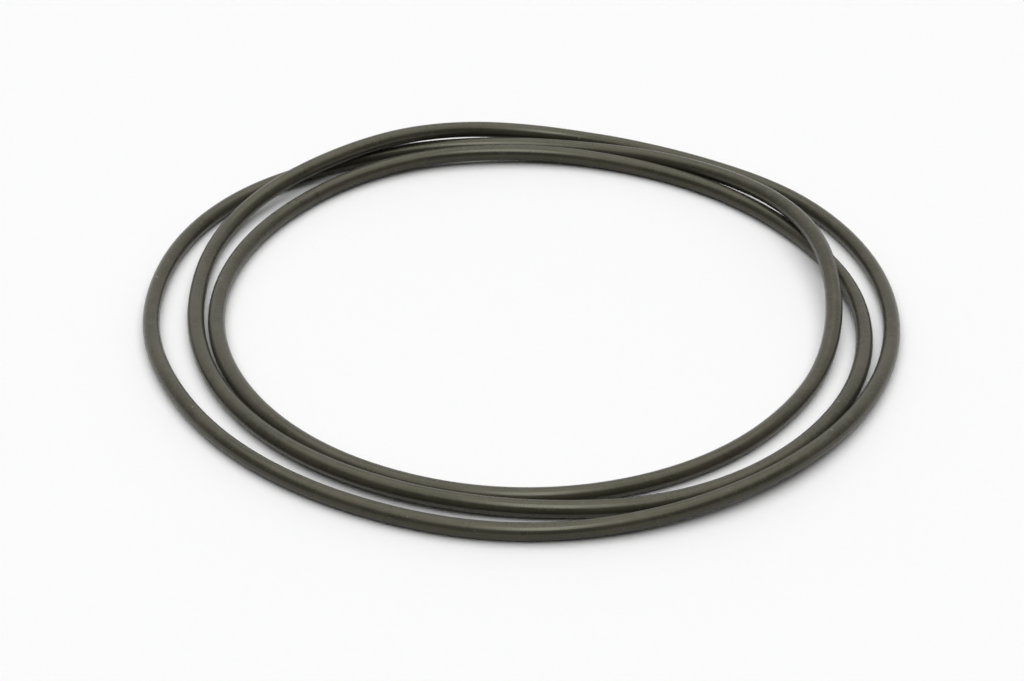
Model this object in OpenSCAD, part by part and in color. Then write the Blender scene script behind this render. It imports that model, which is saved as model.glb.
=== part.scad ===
// Round-section rubber ring, moulded in one piece, lying loosely in three turns
// on a flat surface. The ring is one closed cord: twice a turn climbs over its
// neighbour and takes its place, so that the third turn runs back into the first.
// Origin: on the surface, under the middle of the coil.

/* [Ring] */
// Diameter of the round cord
cord_d = 3.53; // [2:0.01:5.5]
// Inside diameter of the ring when it is laid out as one circle
ring_inside_d = 405.3; // [350:0.1:700]

/* [Coil] */
// Air between turns that lie against each other
turn_gap = 0.12; // [0.05:0.01:0.5]
// How far the turns wander from the mean circle
wander = 1; // [1:0.05:1.5]

/* [Hidden] */

// Flats round the cord, and cross-sections along one turn
cord_sides = 16;
sections_per_turn = 72;

// Centre distance of two turns that lie against each other
lay = cord_d + turn_gap;

// How far outside the mean circle each turn lies, in lays, every 30 degrees from
// the right side, round the back, the left side and the front
chart_step = 30;
first_turn = [1.70, 1.25, 0.25, 0.50, 0.15, 0.50, -0.30, -0.55, -0.50, -0.20, 0.70, 0.65];
second_turn = [0.00, -1.20, -1.80, -1.80, -1.30, -1.40, -1.50, -1.60, -1.50, -1.30, -1.35, -1.55];
third_turn = [-1.45, -0.85, -0.80, -0.65, 0.40, 2.05, 2.15, 1.60, 1.35, 1.65, 1.75, 1.70];
chart = concat(first_turn, second_turn, third_turn);
turns = len(chart) * chart_step / 360;

// Where the cord leaves the surface, over another turn or in a low lift of its own:
// [angle of the top, height of the top in lays, angle of the climb before it, angle
// of the descent after it]
over_third = [116, 1.05, 40, 50];
over_second = [2 * 360 + 18, 1.05, 45, 65];
lifts = [[245, 0.20, 45, 45], [360 + 102, 0.20, 40, 40], [2 * 360 + 308, 0.30, 40, 40]];
rises = concat([over_third, over_second], lifts);

function sum(v) = v * [for (x = v) 1];

// The turns together are as long as the centre line of the ring
mean_r = (ring_inside_d + cord_d) / 2 / turns - lay * wander * sum(chart) / len(chart);

function ease(t) = t * t * (3 - 2 * t);

// Parabola through three neighbouring values, t steps past the middle one
function parabola(a, b, c, t) = b + t * (c - a) / 2 + t * t * (a - 2 * b + c) / 2;

// Smooth closed curve through the values v, read u steps past the first one
function through(v, u) =
    let (
        n = len(v),
        i = floor(u),
        t = u - i,
        p = [for (k = [-1:2]) v[(i + k + n) % n]]
    )
    parabola(p[0], p[1], p[2], t) * (1 - ease(t)) + parabola(p[1], p[2], p[3], t - 1) * ease(t);

// Height that one rise gives the cord at an angle of its run, in lays
function rise(r, angle) =
    let (
        whole = 360 * turns,
        off = (angle - r[0] + 1.5 * whole) % whole - whole / 2,
        slope = off < 0 ? r[2] : r[3]
    )
    r[1] * ease(max(0, 1 - abs(off) / slope));

// Centre line of the cord at an angle that runs on through all the turns
function route(angle) =
    let (
        r = mean_r + lay * wander * through(chart, angle / chart_step),
        z = cord_d / 2 + lay * sum([for (one = rises) rise(one, angle)])
    )
    [r * cos(angle), r * sin(angle), z];

function unit(v) = v / norm(v);

// Round section of the cord, square to its run at one point of the centre line
function section(before, at, after) =
    let (
        run = unit(after - before),
        side = unit(cross(run, [0, 0, 1])),
        up = cross(side, run)
    )
    [for (k = [0:cord_sides - 1])
        let (a = 360 * k / cord_sides)
        at + cord_d / 2 * (cos(a) * side + sin(a) * up)];

module o_ring() {
    count = turns * sections_per_turn;
    line = [for (i = [0:count - 1]) route(i * 360 / sections_per_turn)];
    xs = [for (p = line) p.x];
    ys = [for (p = line) p.y];
    middle = [max(xs) + min(xs), max(ys) + min(ys), 0] / 2;
    points = [for (i = [0:count - 1])
        each section(line[(i + count - 1) % count], line[i], line[(i + 1) % count])];
    faces = [for (i = [0:count - 1], k = [0:cord_sides - 1])
        let (
            j = (i + 1) % count,
            m = (k + 1) % cord_sides
        )
        [i * cord_sides + k, j * cord_sides + k, j * cord_sides + m, i * cord_sides + m]];
    color("#3b3a34")
        translate(-middle)
            polyhedron(points = points, faces = faces, convexity = 10);
}

o_ring();
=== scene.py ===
# %% [markdown]
# # A rubber sealing ring, coiled in three turns
#
# The real object is one endless cord of soft dark rubber, round in section and
# moulded in one piece. It is far too large to lie flat in the hand, so it has been
# wound on itself and put down: three loose turns that cross twice. This lesson
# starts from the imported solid, which fixes the size and the lay, and then builds a
# finer cord, its rubber finish, the ground, the light and the camera.

# %% Load the frame
from math import cos, floor, pi, radians, sin

import bpy
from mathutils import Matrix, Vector


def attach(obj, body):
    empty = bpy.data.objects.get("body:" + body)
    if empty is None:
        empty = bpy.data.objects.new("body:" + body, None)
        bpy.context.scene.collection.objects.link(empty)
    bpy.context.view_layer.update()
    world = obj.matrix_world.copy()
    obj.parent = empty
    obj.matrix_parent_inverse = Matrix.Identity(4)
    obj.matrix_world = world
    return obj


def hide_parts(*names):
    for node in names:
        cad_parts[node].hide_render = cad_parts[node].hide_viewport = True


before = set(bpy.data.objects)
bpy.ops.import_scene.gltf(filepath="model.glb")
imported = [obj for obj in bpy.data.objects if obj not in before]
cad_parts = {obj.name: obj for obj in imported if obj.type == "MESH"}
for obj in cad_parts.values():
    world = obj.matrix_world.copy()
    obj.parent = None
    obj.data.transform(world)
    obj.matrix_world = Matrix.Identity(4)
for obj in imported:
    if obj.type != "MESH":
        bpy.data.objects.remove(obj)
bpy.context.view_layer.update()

# %% [markdown]
# ## The route of the cord
#
# The centre line could be drawn by hand as a curve object, but then the finer cord
# and the solid would part company. So the lay is charted as in the solid: how far
# outside the mean circle each turn lies, every 30 degrees, in widths of a turn. The
# chart runs on through all three turns and closes on itself, because the ring does.

# %% Chart of the lay
MM = 0.001
cord_d = 3.53 * MM
ring_inside_d = 405.3 * MM
turn_gap = 0.12 * MM
lay = cord_d + turn_gap

chart_step = 30
first_turn = [1.70, 1.25, 0.25, 0.50, 0.15, 0.50, -0.30, -0.55, -0.50, -0.20, 0.70, 0.65]
second_turn = [0.00, -1.20, -1.80, -1.80, -1.30, -1.40, -1.50, -1.60, -1.50, -1.30, -1.35, -1.55]
third_turn = [-1.45, -0.85, -0.80, -0.65, 0.40, 2.05, 2.15, 1.60, 1.35, 1.65, 1.75, 1.70]
chart = first_turn + second_turn + third_turn
turns = len(chart) * chart_step // 360
mean_r = (ring_inside_d + cord_d) / 2 / turns - lay * sum(chart) / len(chart)
print("turns:", turns, " mean radius, mm:", round(mean_r / MM, 2))


# %% A smooth closed curve through the chart
def ease(t):
    return t * t * (3 - 2 * t)


def parabola(a, b, c, t):
    """The parabola through three neighbouring values, t steps past the middle one."""
    return b + t * (c - a) / 2 + t * t * (a - 2 * b + c) / 2


def through(values, u):
    """The closed curve through the values, read u steps past the first one."""
    i = floor(u)
    t = u - i
    p = [values[(i + k) % len(values)] for k in (-1, 0, 1, 2)]
    near, far = parabola(*p[:3], t), parabola(*p[1:], t - 1)
    return near * (1 - ease(t)) + far * ease(t)


print("chart at 0, 15 and 30 degrees:", [round(through(chart, u), 2) for u in (0, 0.5, 1)])

# %% [markdown]
# ## Where the cord leaves the ground
#
# Two turns can't cross in one plane. At each crossing the upper turn climbs a little
# over one cord and comes down again in a long easy hump, as stiff rubber does. In
# three more places a turn lifts a little. Each hump is one row of four numbers, which
# is easier to read and to change than a table of heights: the angle of its top, its
# height in widths of a turn, and the angles of its climb and of its descent.

# %% The humps, and the centre line
over_third = (116, 1.05, 40, 50)
over_second = (2 * 360 + 18, 1.05, 45, 65)
lifts = [(245, 0.20, 45, 45), (360 + 102, 0.20, 40, 40), (2 * 360 + 308, 0.30, 40, 40)]
rises = [over_third, over_second, *lifts]


def rise(hump, angle):
    """Height that one hump gives the cord at an angle of its run, in widths of a turn."""
    top, height, climb, descent = hump
    whole = 360 * turns
    off = (angle - top + 1.5 * whole) % whole - whole / 2
    return height * ease(max(0, 1 - abs(off) / (climb if off < 0 else descent)))


def route(angle):
    """Centre line of the cord at an angle that runs on through all the turns."""
    r = mean_r + lay * through(chart, angle / chart_step)
    z = cord_d / 2 + lay * sum(rise(hump, angle) for hump in rises)
    return Vector((r * cos(radians(angle)), r * sin(radians(angle)), z))


print("humps:", len(rises))

# %% [markdown]
# The solid is centred on its own box. To put the finer cord in the same place, the
# box is measured here as there, at the solid's own cross-sections.

# %% Centre of the coil
solid_sections = 72
solid_line = [route(i * 360 / solid_sections) for i in range(solid_sections * turns)]
coil_shift = Vector([-(max(p[i] for p in solid_line) + min(p[i] for p in solid_line)) / 2
                     for i in (0, 1)] + [0])
print("coil centre in the frame, mm:", [round(c / MM, 3) for c in coil_shift])

# %% [markdown]
# ## The section of the cord
#
# A ring like this is moulded between two plates. They meet at its inside and its
# outside, and leave a hair-fine raised line there even after trimming. A plain circle
# would miss it, so the section is a circle with a tiny ridge on either side. Each
# point of the section is an angle, from straight outward, and a radius. The ridge is
# a hair under the solid's radius, so that this finer cord stays inside the solid's box.

# %% Section with its two parting lines
box_margin = 0.02 * MM
ridge_height = 0.02 * MM
ridge_r = cord_d / 2 - box_margin
body_r = ridge_r - ridge_height
ridge_half = 4
sides = 40

section = []
for start in (0, 180):
    section.append((start, ridge_r, 1.0))
    flank = 180 - 2 * ridge_half
    for k in range(sides // 2 - 1):
        section.append((start + ridge_half + flank * k / (sides // 2 - 2), body_r, 0.0))
print("points round the cord:", len(section))

# %% [markdown]
# ## Sweeping the section along the route
#
# A bevelled curve object would do this in one line, but it twists its section freely
# where the cord climbs. Here each section stands square to the cord and level with
# the ground, so the parting lines stay on the inside and the outside of the coil,
# where an untwisted ring has them.

# %% Mesh of the cord
sections_per_turn = 300
count = sections_per_turn * turns


def across(run):
    """The two directions square to the cord's run: level and outward, and upward."""
    side = run.cross(Vector((0, 0, 1))).normalized()
    return side, side.cross(run)


def cord_mesh():
    line = [route(i * 360 / sections_per_turn) + coil_shift for i in range(count)]
    verts, marks = [], []
    for i, at in enumerate(line):
        side, up = across((line[(i + 1) % count] - line[i - 1]).normalized())
        for angle, radius, mark in section:
            a = radians(angle)
            verts.append(at + radius * (cos(a) * side + sin(a) * up))
            marks.append(mark)
    around = len(section)
    faces = []
    for i in range(count):
        j = (i + 1) % count
        for k in range(around):
            m = (k + 1) % around
            faces.append((i * around + k, j * around + k, j * around + m, i * around + m))
    mesh = bpy.data.meshes.new("rubber_cord")
    mesh.from_pydata(verts, [], faces)
    mesh.attributes.new("parting", "FLOAT", "POINT").data.foreach_set("value", marks)
    uv = mesh.uv_layers.new(name="cord")
    for polygon in mesh.polygons:
        i, k = divmod(polygon.index, around)
        for loop, (di, dk) in zip(polygon.loop_indices, ((0, 0), (1, 0), (1, 1), (0, 1))):
            uv.data[loop].uv = ((i + di) / count, (k + dk) / around)
    mesh.shade_smooth()
    mesh.update()
    return mesh


ring = bpy.data.objects.new("rubber_cord", cord_mesh())
bpy.context.scene.collection.objects.link(ring)
print("faces of the ring:", len(ring.data.polygons))

# %% Put the ring in the place of the solid
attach(ring, "root")
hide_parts("o_ring")
print(ring.name, "takes the place of o_ring")

# %% [markdown]
# ## Shader maths as plain expressions
#
# Node trees get hard to read when every sum is a node of its own. One small class
# wraps an output socket, so that `1 - dust * 0.5` adds its own Math nodes. Any other
# node comes from one function that takes its type, its settings and its sockets.


# %% The socket class
class Wire:
    """One output socket of the tree that is being built."""
    tree = None

    def __init__(self, socket):
        self.socket = socket

    def maths(self, operation, a, b):
        return node("ShaderNodeMath", {"operation": operation}, {0: a, 1: b})

    def __add__(self, other):
        return self.maths("ADD", self, other)

    def __sub__(self, other):
        return self.maths("SUBTRACT", self, other)

    def __rsub__(self, other):
        return self.maths("SUBTRACT", other, self)

    def __mul__(self, other):
        return self.maths("MULTIPLY", self, other)

    __radd__ = __add__
    __rmul__ = __mul__


def node(kind, settings=None, sockets=None, out=0):
    """Adds a node of that type, sets it up, feeds its sockets and returns one output."""
    made = Wire.tree.nodes.new(kind)
    for name, value in (settings or {}).items():
        setattr(made, name, value)
    for name, value in (sockets or {}).items():
        if isinstance(value, Wire):
            Wire.tree.links.new(value.socket, made.inputs[name])
        else:
            made.inputs[name].default_value = value
    return Wire(made.outputs[out])


# %% Helpers for steps, noise and tints
def between(value, low, high):
    """0 below low, 1 above high, and a soft step between them."""
    return node("ShaderNodeMapRange", {"interpolation_type": "SMOOTHSTEP"},
                {"Value": value, "From Min": low, "From Max": high})


def noise(place, per_metre, detail=3.0, roughness=0.5):
    """Soft noise from 0 to 1, with that many blobs to the metre."""
    return node("ShaderNodeTexNoise", {},
                {"Vector": place, "Scale": per_metre, "Detail": detail, "Roughness": roughness})


def tinted(mask, under, over):
    """Colour under, with colour over where the mask is 1."""
    return node("ShaderNodeMix", {"data_type": "RGBA"}, {0: mask, 6: under, 7: over}, out=2)


# %% [markdown]
# ## The rubber
#
# Black-filled rubber isn't black: it is a dark grey with a little olive in it, and
# handling leaves it unevenly matt. Its surface copies the mould, so it has a very
# fine grain. Four things vary over it here: the tone, in soft clouds; a thin film of
# dust on what faces up; a few bright specks of lint; and small pale scuffs where it
# has been rubbed. They are all made from the place on the object, so nothing slides
# when the camera moves.

# %% Tone of the rubber
rubber = bpy.data.materials.new("moulded rubber")
rubber.use_nodes = True
Wire.tree = rubber.node_tree
skin = rubber.node_tree.nodes["Principled BSDF"]
skin.inputs["IOR"].default_value = 1.48
skin.inputs["Specular Tint"].default_value = (1.0, 0.965, 0.71, 1)

RUBBER_DEEP = (0.040, 0.0375, 0.027, 1)
RUBBER_WORN = (0.052, 0.0485, 0.035, 1)
DUST = (0.30, 0.29, 0.26, 1)

place = node("ShaderNodeTexCoord", out=3)
clouds = between(noise(place, 70, detail=4.0), 0.35, 0.65)
tone = tinted(clouds, RUBBER_DEEP, RUBBER_WORN)
print("rubber, darkest and lightest:", RUBBER_DEEP[:3], RUBBER_WORN[:3])

# %% Dust film and lint
film_share, lint_share = 0.07, 0.45
facing = node("ShaderNodeSeparateXYZ", {}, {0: node("ShaderNodeNewGeometry", out=1)}, out=2)
upward = between(facing, 0.1, 0.9)
film = upward * between(noise(place, 420, detail=5.0, roughness=0.65), 0.45, 0.75)
lint = between(noise(place, 1500, detail=1.0), 0.775, 0.81)
dusty = tinted(film * film_share, tone, DUST)
linty = tinted(lint * lint_share, dusty, DUST)
print("share of dust colour in the film and in the lint:", film_share, lint_share)

# %% [markdown]
# Scuffs are listed one by one, each at an angle along the cord and one round it, with a
# size in millimetres. A ball of influence round that point, made ragged with noise,
# gives a small rub mark.


# %% Places on the cord
def on_surface(angle, around, step=0.5):
    """A point on the cord: angle along its run, and round it from straight outward."""
    at = route(angle) + coil_shift
    side, up = across((route(angle + step) - route(angle - step)).normalized())
    return at + body_r * (cos(radians(around)) * side + sin(radians(around)) * up)


scuffs = [(2 * 360 + 173, 80, 0.9), (360 + 172, 70, 0.5), (360 + 14, 75, 0.6),
          (330, 100, 0.5), (2 * 360 + 322, 95, 0.7), (2 * 360 + 210, 85, 0.5),
          (360 + 250, 110, 0.5)]
print("scuffs:", len(scuffs))

# %% Scuffs
scuff_share = 0.75
ragged = noise(place, 2600, detail=3.0)
rubbed = 0.0
for along, around, size_mm in scuffs:
    away = node("ShaderNodeVectorMath", {"operation": "DISTANCE"},
                {0: place, 1: on_surface(along, around)}, out=1)
    mark = 1 - between(away + ragged * (size_mm * MM), size_mm * MM * 0.5, size_mm * MM)
    rubbed = mark + rubbed
scuffed = tinted(rubbed * scuff_share, linty, DUST)
print("share of dust colour in a scuff:", scuff_share)

# %% Parting line, sheen and grain
parting_share = 0.25
parting = node("ShaderNodeAttribute", {"attribute_name": "parting"}, out=2)
colour = tinted(parting * parting_share, scuffed, RUBBER_WORN)
roughness = 0.25 + clouds * 0.05 + film * 0.08 + parting * 0.08 + rubbed * 0.12
grain = noise(place, 3200, detail=4.0, roughness=0.6)
ripple = noise(place, 380, detail=2.0)
relief = node("ShaderNodeBump", {}, {"Strength": 0.35, "Distance": 0.04 * MM,
                                     "Height": grain * 0.6 + ripple * 0.8})
for name, wire in (("Base Color", colour), ("Roughness", roughness), ("Normal", relief)):
    rubber.node_tree.links.new(wire.socket, skin.inputs[name])
ring.data.materials.append(rubber)
print("rubber nodes:", len(rubber.node_tree.nodes))

# %% [markdown]
# ## The ground
#
# The ring lies on plain white board. It is one large square, wide enough to fill the
# view from any side. It isn't part of the object.

# %% White board
board_half = 3.0
corners = [(x * board_half, y * board_half, 0) for x, y in ((-1, -1), (1, -1), (1, 1), (-1, 1))]
board_mesh = bpy.data.meshes.new("white_board")
board_mesh.from_pydata(corners, [], [(0, 1, 2, 3)])
board = bpy.data.objects.new("white_board", board_mesh)
bpy.context.scene.collection.objects.link(board)
print("white board, metres wide:", 2 * board_half)

# %% [markdown]
# The board is matt white, and a trace of unevenness keeps it from looking drawn. The
# camera and the rubber's reflections see it white. For the soft light that it throws
# back it counts as grey, or it would fill the dark gaps between the turns with light.


# %% Finish of the board
def grey(level):
    return (level, level, level, 1)


paper = bpy.data.materials.new("white board")
paper.use_nodes = True
Wire.tree = paper.node_tree
sheet = paper.node_tree.nodes["Principled BSDF"]
sheet.inputs["Roughness"].default_value = 0.9
sheet.inputs["Specular IOR Level"].default_value = 0.1
fibres = noise(node("ShaderNodeTexCoord", out=3), 900, detail=3.0)
white = tinted(fibres, grey(0.90), grey(0.92))
seen = node("ShaderNodeMath", {"operation": "MAXIMUM"},
            {0: node("ShaderNodeLightPath", out="Is Camera Ray"),
             1: node("ShaderNodeLightPath", out="Is Glossy Ray")})
white = tinted(seen, grey(0.40), white)
paper.node_tree.links.new(white.socket, sheet.inputs["Base Color"])
board_mesh.materials.append(paper)
print("board nodes:", len(paper.node_tree.nodes))

# %% [markdown]
# ## Light
#
# The ring is lit as small parts are for a catalogue. The surround is bright behind the
# ring and dim on the viewer's side, so the side strands shine along their tops and the
# flanks that face the viewer stay dark. The camera itself sees an even white behind
# the board.

# %% Surround
world = bpy.data.worlds.new("studio")
world.use_nodes = True
Wire.tree = world.node_tree
sky = world.node_tree.nodes["Background"]
sky.inputs["Color"].default_value = (1, 1, 1, 1)
toward_back = node("ShaderNodeSeparateXYZ", {}, {0: node("ShaderNodeTexCoord", out=0)}, out=1)
dim_side, bright_side, backdrop_white = 0.14, 0.91, 0.95
shine = dim_side + between(toward_back, 0.0, 0.8) * (bright_side - dim_side)
backdrop = node("ShaderNodeLightPath", out="Is Camera Ray")
level = shine * (1 - backdrop) + backdrop * backdrop_white
world.node_tree.links.new(level.socket, sky.inputs["Strength"])
bpy.context.scene.world = world
bpy.context.scene.view_settings.view_transform = "Standard"
print("surround, viewer's side and back:", dim_side, bright_side)

# %% [markdown]
# One very large soft light straight overhead draws the broad grey band along each
# turn. A sun lamp with a wide angle stands for it, because its light is the same all
# over the ground, so the white board stays even to its edges. Its strength is a level
# times pi, because then a level of 1 alone would bring a white board to full white.

# %% Overhead light
overhead_level = 0.73
overhead = bpy.data.lights.new("overhead", "SUN")
overhead.energy = overhead_level * pi
overhead.angle = radians(84)
overhead_lamp = bpy.data.objects.new("overhead", overhead)
overhead_lamp.rotation_euler = (radians(1), 0, 0)
bpy.context.scene.collection.objects.link(overhead_lamp)
print("overhead light, level:", overhead_level)

# %% [markdown]
# At the very front and the very back each strand also has one short pale gleam, where
# the smooth rubber mirrors a single smaller lamp a little to the viewer's side. An area
# lamp gives those gleams. It is kept off matt surfaces, or it would leave a bright pool
# on the board. It is slightly blue, because the rubber yellows what it mirrors.

# %% Small lamp for the gleams
gleam_level = 6.5
gleam = bpy.data.lights.new("gleam", "AREA")
gleam.shape = "RECTANGLE"
gleam.size = 0.22
gleam.size_y = 0.6
gleam.color = (0.84, 0.88, 1.0)
gleam.energy = gleam_level * pi * gleam.size * gleam.size_y
gleam_lamp = bpy.data.objects.new("gleam", gleam)
gleam_lamp.location = (0.02, -0.37, 0.8)
gleam_lamp.rotation_euler = (radians(25), 0, 0)
gleam_lamp.visible_diffuse = False
bpy.context.scene.collection.objects.link(gleam_lamp)
print("gleam lamp, watts:", round(gleam.energy, 2))

# %% [markdown]
# ## Camera
#
# The coil looks like an ellipse about 0.55 as high as it is wide, which puts the
# camera some 34 degrees above the ground. The front strands are only a fifth thicker
# than the rear ones, so the camera stands well back with a long lens. A small shift
# sets the coil where it sits in the picture without turning the camera.

# %% Camera
image_w, image_h = 1024, 681
elevation = radians(33.6)
cord_px = 17.2
focal_px = 2960
stand_off = focal_px * (cord_d / MM / cord_px) * MM
coil_px = (524.75, 315.6)

lens = bpy.data.cameras.new("camera")
lens.sensor_width = 36
lens.lens = focal_px * lens.sensor_width / image_w
lens.shift_x = (image_w / 2 - coil_px[0]) / image_w
lens.shift_y = (coil_px[1] - image_h / 2) / image_w
lens.clip_start = 0.01
camera = bpy.data.objects.new("camera", lens)
camera.location = coil_shift + stand_off * Vector((0, -cos(elevation), sin(elevation)))
camera.rotation_euler = (pi / 2 - elevation, 0, 0)
bpy.context.scene.collection.objects.link(camera)
bpy.context.scene.camera = camera
print("lens, mm:", round(lens.lens, 1), " distance, m:", round(stand_off, 3))
